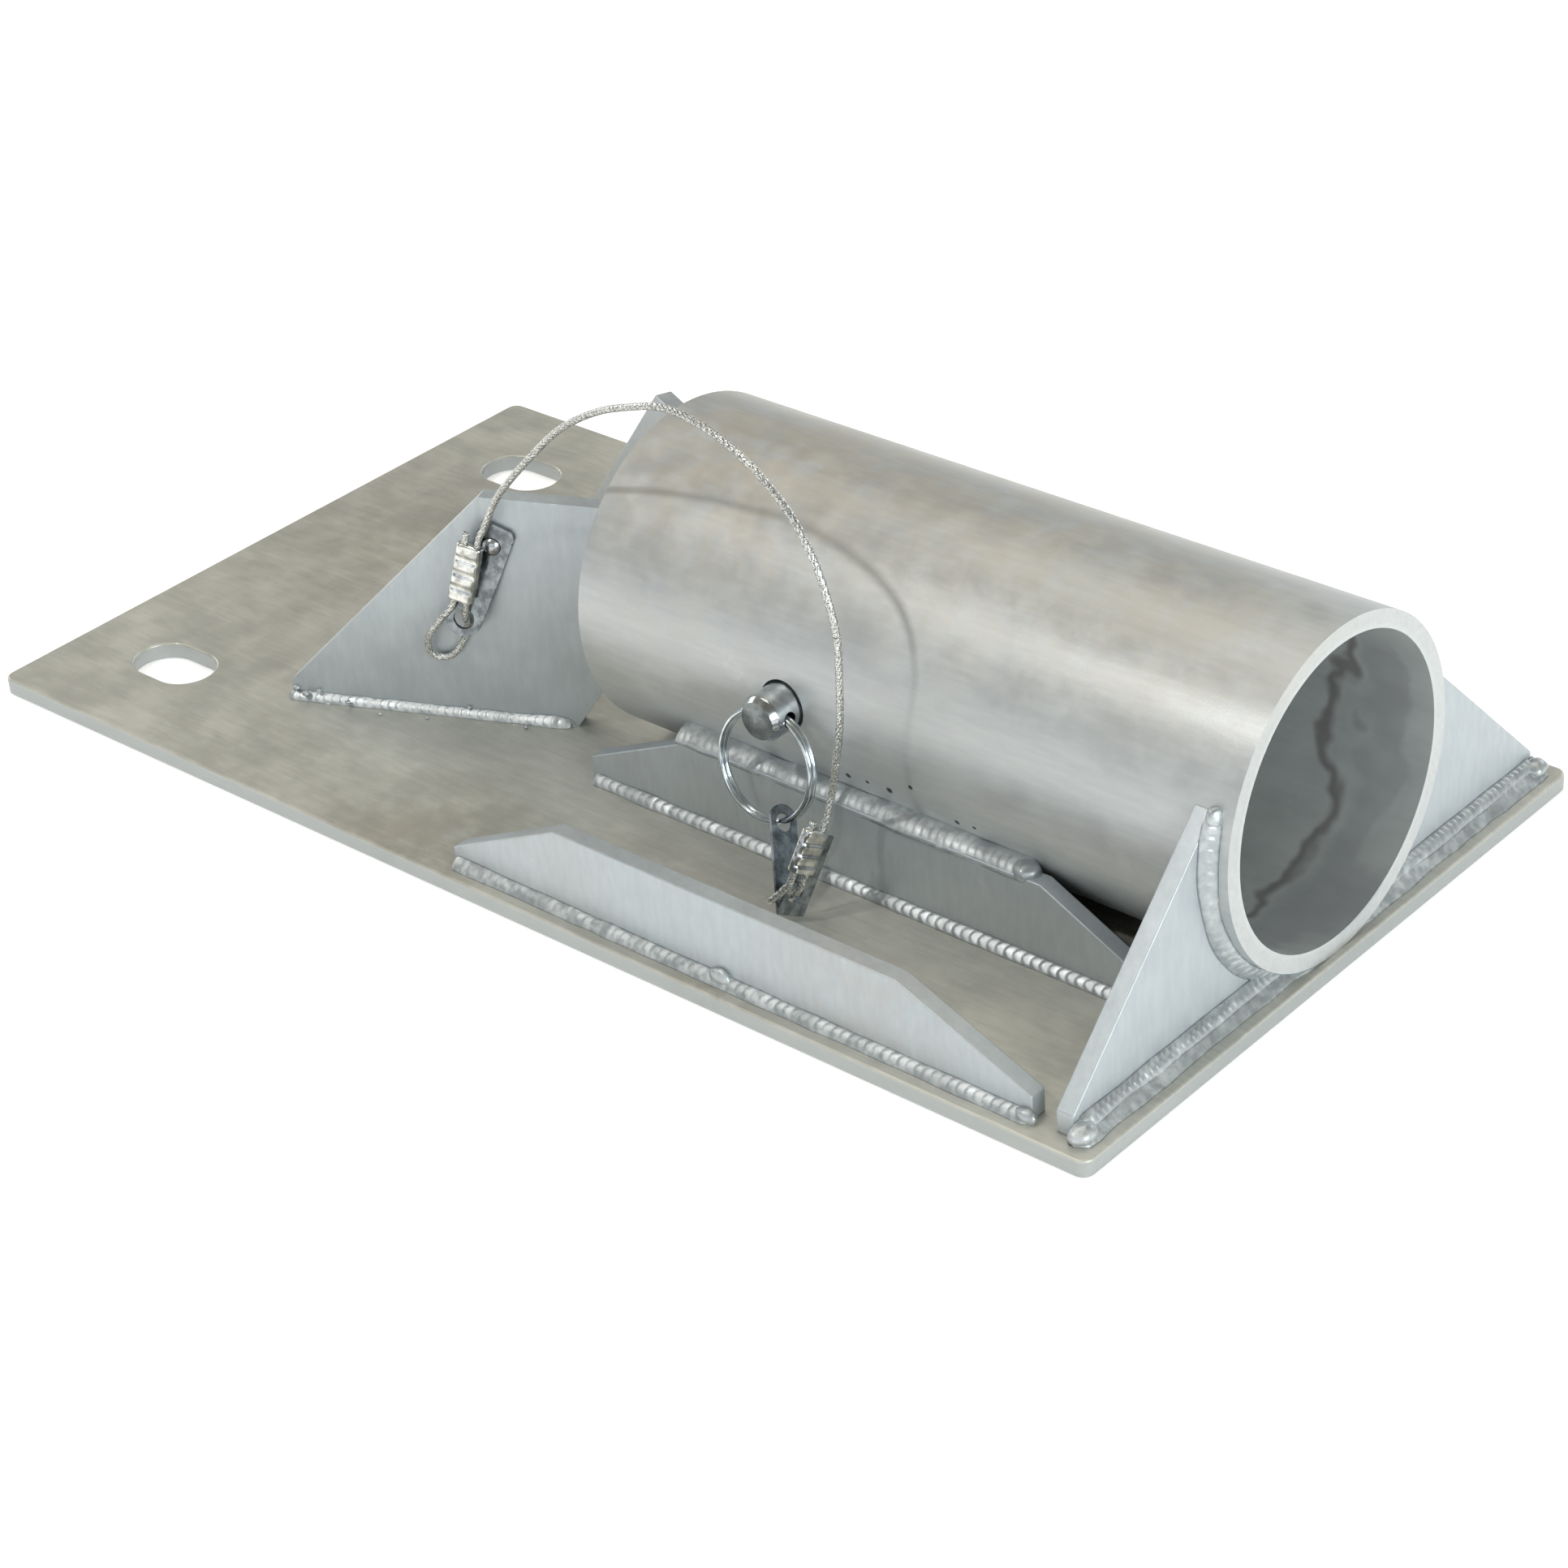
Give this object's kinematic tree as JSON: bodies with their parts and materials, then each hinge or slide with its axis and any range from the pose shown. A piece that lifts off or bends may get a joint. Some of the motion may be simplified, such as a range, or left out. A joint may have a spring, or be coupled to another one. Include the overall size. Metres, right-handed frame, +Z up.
{
  "type": "stanchion base",
  "caption": "Welded aluminium base plate with a cross-pinned tube socket, side ribs, V gussets behind it and a detent pin kept on a wire-rope lanyard",
  "frame": {"origin": "the centre of the base plate's underside", "axes": "+X towards the socket's mouth, along the plate's length; +Y to the far side, away from the pin's ring; +Z up"},
  "size_m": [0.48, 0.26, 0.1631],
  "materials": {
    "plate": "mill finish, satin",
    "tube": "extruded mill finish, satin with a faint grain",
    "weld": "bright rippled weld bead",
    "pin": "bright stainless",
    "ring": "polished wire",
    "tab": "bright stainless strip",
    "ferrule": "bright, crimped",
    "rivet": "bright",
    "wire_rope": "stranded, bright"
  },
  "bodies": {
    "base": {"base_plate": "plate", "socket_tube": "tube", "stop_disc": "plate", "front_gusset_near": "plate", "front_gusset_far": "plate", "side_rib_near": "plate", "side_rib_far": "plate", "saddle_gusset_near": "plate", "saddle_gusset_far": "plate", "rear_gusset_near": "plate", "rear_gusset_far": "plate", "weld_front_base_near": "weld", "weld_front_base_far": "weld", "weld_front_tube_near": "weld", "weld_front_tube_far": "weld", "weld_rib_near": "weld", "weld_rib_far": "weld", "weld_saddle_foot_near": "weld", "weld_saddle_foot_far": "weld", "weld_saddle_top_near": "weld", "weld_saddle_top_far": "weld", "weld_gusset_foot_near": "weld", "weld_gusset_foot_far": "weld", "weld_gusset_end_near": "weld", "weld_gusset_end_far": "weld", "rivet": "rivet", "lanyard_cable": "wire_rope"},
    "pin": {"detent_pin": "pin"},
    "ball": {"detent_ball": "pin"},
    "ring": {"split_ring": "ring"},
    "ring_end": {"ring_tab": "tab", "ring_ferrule": "ferrule"},
    "fixed_end": {"fixed_tab": "tab", "fixed_ferrule": "ferrule"}
  },
  "joints": [
    {"name": "pin_slide", "type": "slide", "parent": "base", "child": "pin", "axis": [0, -1, 0], "range_m": [0, 0.024], "deforming": ["lanyard_cable"]},
    {"name": "ball_press", "type": "slide", "parent": "pin", "child": "ball", "axis": [0, 0, -1], "range_m": [0, 0.0007], "stiffness_N_per_m": 2000},
    {"name": "ring_swing", "type": "hinge", "parent": "pin", "child": "ring", "pos_m": [0.067, -0.0625, 0.0635], "axis": [-1, 0, 0], "range_deg": [-0.5, 75], "deforming": ["lanyard_cable"]},
    {"name": "ring_tab_swing", "type": "hinge", "parent": "ring", "child": "ring_end", "pos_m": [0.075, -0.06905, 0.0298], "axis": [0.902, 0.082, 0.424], "range_deg": [-8, 1.5], "deforming": ["lanyard_cable"]},
    {"name": "fixed_tab_swivel", "type": "hinge", "parent": "base", "child": "fixed_end", "pos_m": [-0.06908, -0.04628, 0.074], "axis": [0.4051, -0.9143, 0], "range_deg": [-35, 35], "deforming": ["lanyard_cable"]}
  ]
}
